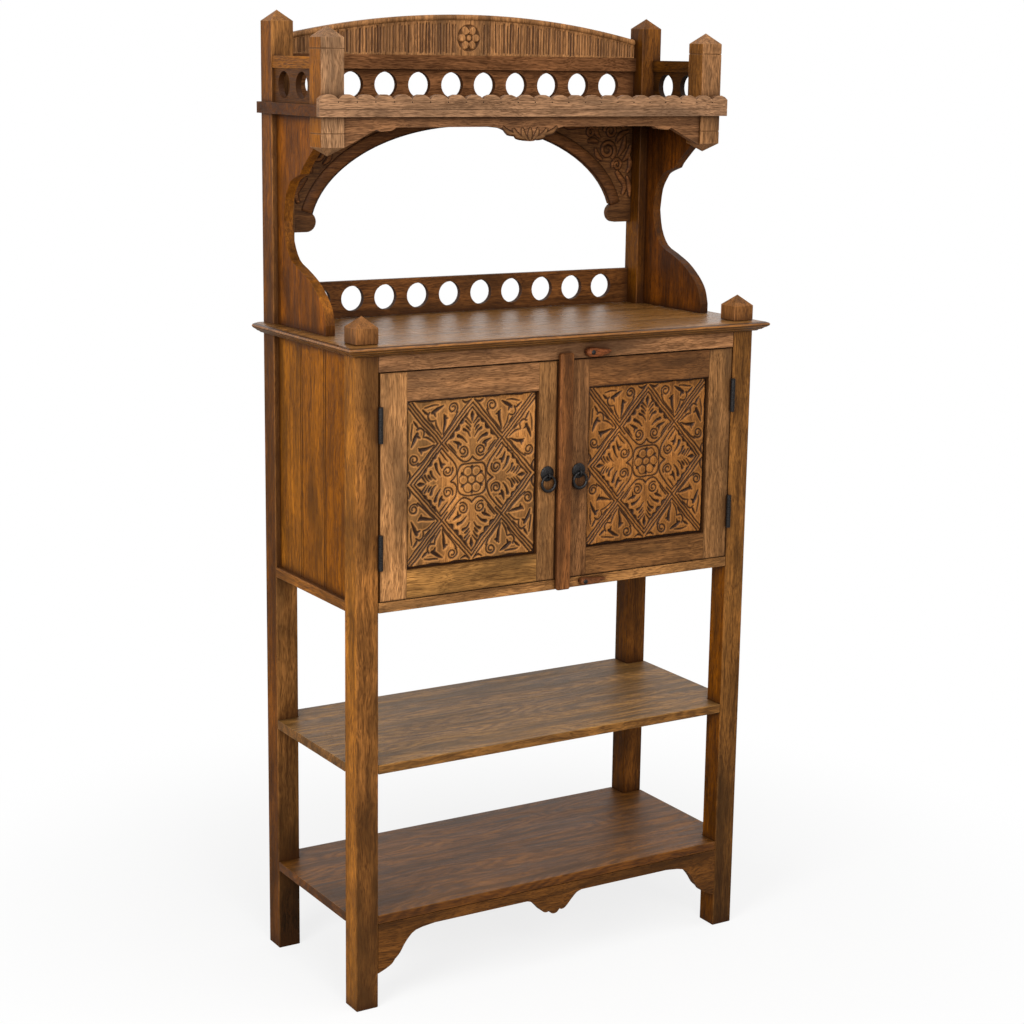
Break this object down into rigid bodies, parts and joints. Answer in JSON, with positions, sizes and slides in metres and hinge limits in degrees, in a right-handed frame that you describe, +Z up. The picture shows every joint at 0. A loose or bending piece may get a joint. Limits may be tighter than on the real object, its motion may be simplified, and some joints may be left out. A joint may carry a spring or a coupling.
{
  "type": "carved hardwood sideboard with a galleried hutch",
  "caption": "Tall hardwood sideboard: open stand with shelves, cupboard with carved hinged doors, turn buttons and ring pulls, and a hutch with an arched back, tray and fluted crest.",
  "frame": {"origin": "on the floor, under the middle of the part's outer box", "axes": "+X to the right seen from the front, +Y to the back, +Z up; the doors face -Y"},
  "size_m": [0.905, 0.399, 1.8],
  "materials": {
    "frame_wood": "oiled and stained brown, worn edges",
    "panel_wood": "oiled and stained amber brown",
    "carved_wood": "carved, dark stain in the hollows, rubbed bright on the high places",
    "shelf_wood": "oiled, greyer brown with dark streaks",
    "iron": "blackened"
  },
  "bodies": {
    "frame": {"rear_left_post": "frame_wood", "rear_right_post": "frame_wood", "front_left_leg": "frame_wood", "front_right_leg": "frame_wood", "front_left_finial": "frame_wood", "front_right_finial": "frame_wood", "front_left_pendant": "frame_wood", "front_right_pendant": "frame_wood", "table_top": "shelf_wood", "front_top_rail": "frame_wood", "front_bottom_rail": "frame_wood", "left_bottom_rail": "frame_wood", "right_bottom_rail": "frame_wood", "left_side_panel": "panel_wood", "right_side_panel": "panel_wood", "cupboard_floor": "shelf_wood", "cupboard_back": "panel_wood", "middle_shelf": "shelf_wood", "bottom_shelf": "shelf_wood", "bottom_apron": "frame_wood", "left_hutch_side": "panel_wood", "right_hutch_side": "panel_wood", "lower_gallery": "frame_wood", "left_spandrel": "carved_wood", "right_spandrel": "carved_wood", "tray_board": "shelf_wood", "scalloped_fascia": "frame_wood", "front_valance": "frame_wood", "left_gallery": "frame_wood", "right_gallery": "frame_wood", "rear_gallery": "frame_wood", "fluted_crest": "carved_wood", "left_upper_hinge_frame_leaf": "iron", "left_lower_hinge_frame_leaf": "iron", "right_upper_hinge_frame_leaf": "iron", "right_lower_hinge_frame_leaf": "iron", "upper_turn_button_screw": "iron", "lower_turn_button_screw": "iron"},
    "left_door": {"left_door_hinge_stile": "frame_wood", "left_door_meeting_stile": "frame_wood", "left_door_top_rail": "frame_wood", "left_door_bottom_rail": "frame_wood", "left_door_panel": "carved_wood", "left_upper_hinge_door_leaf": "iron", "left_lower_hinge_door_leaf": "iron", "left_pull_plate": "iron"},
    "right_door": {"right_door_hinge_stile": "frame_wood", "right_door_meeting_stile": "frame_wood", "right_door_top_rail": "frame_wood", "right_door_bottom_rail": "frame_wood", "right_door_panel": "carved_wood", "door_astragal": "frame_wood", "right_upper_hinge_door_leaf": "iron", "right_lower_hinge_door_leaf": "iron", "right_pull_plate": "iron"},
    "left_ring": {"left_pull_ring": "iron"},
    "right_ring": {"right_pull_ring": "iron"},
    "upper_button": {"upper_turn_button": "frame_wood"},
    "lower_button": {"lower_turn_button": "frame_wood"}
  },
  "joints": [
    {"name": "left_door_hinge", "type": "hinge", "parent": "frame", "child": "left_door", "pos_m": [-0.3823, -0.1807, 0.978], "axis": [0, 0, -1], "range_deg": [0, 110]},
    {"name": "right_door_hinge", "type": "hinge", "parent": "frame", "child": "right_door", "pos_m": [0.3823, -0.1807, 0.978], "axis": [0, 0, 1], "range_deg": [0, 110]},
    {"name": "left_ring_swing", "type": "hinge", "parent": "left_door", "child": "left_ring", "pos_m": [-0.0345, -0.1817, 0.9712], "axis": [-1, 0, 0], "range_deg": [0, 85]},
    {"name": "right_ring_swing", "type": "hinge", "parent": "right_door", "child": "right_ring", "pos_m": [0.0345, -0.1817, 0.9712], "axis": [-1, 0, 0], "range_deg": [0, 85]},
    {"name": "upper_button_turn", "type": "hinge", "parent": "frame", "child": "upper_button", "pos_m": [0.052, -0.1839, 1.19585], "axis": [0, 1, 0], "range_deg": [0, 100]},
    {"name": "lower_button_turn", "type": "hinge", "parent": "frame", "child": "lower_button", "pos_m": [0.045, -0.1839, 0.7641], "axis": [0, -1, 0], "range_deg": [-90, 100]}
  ]
}
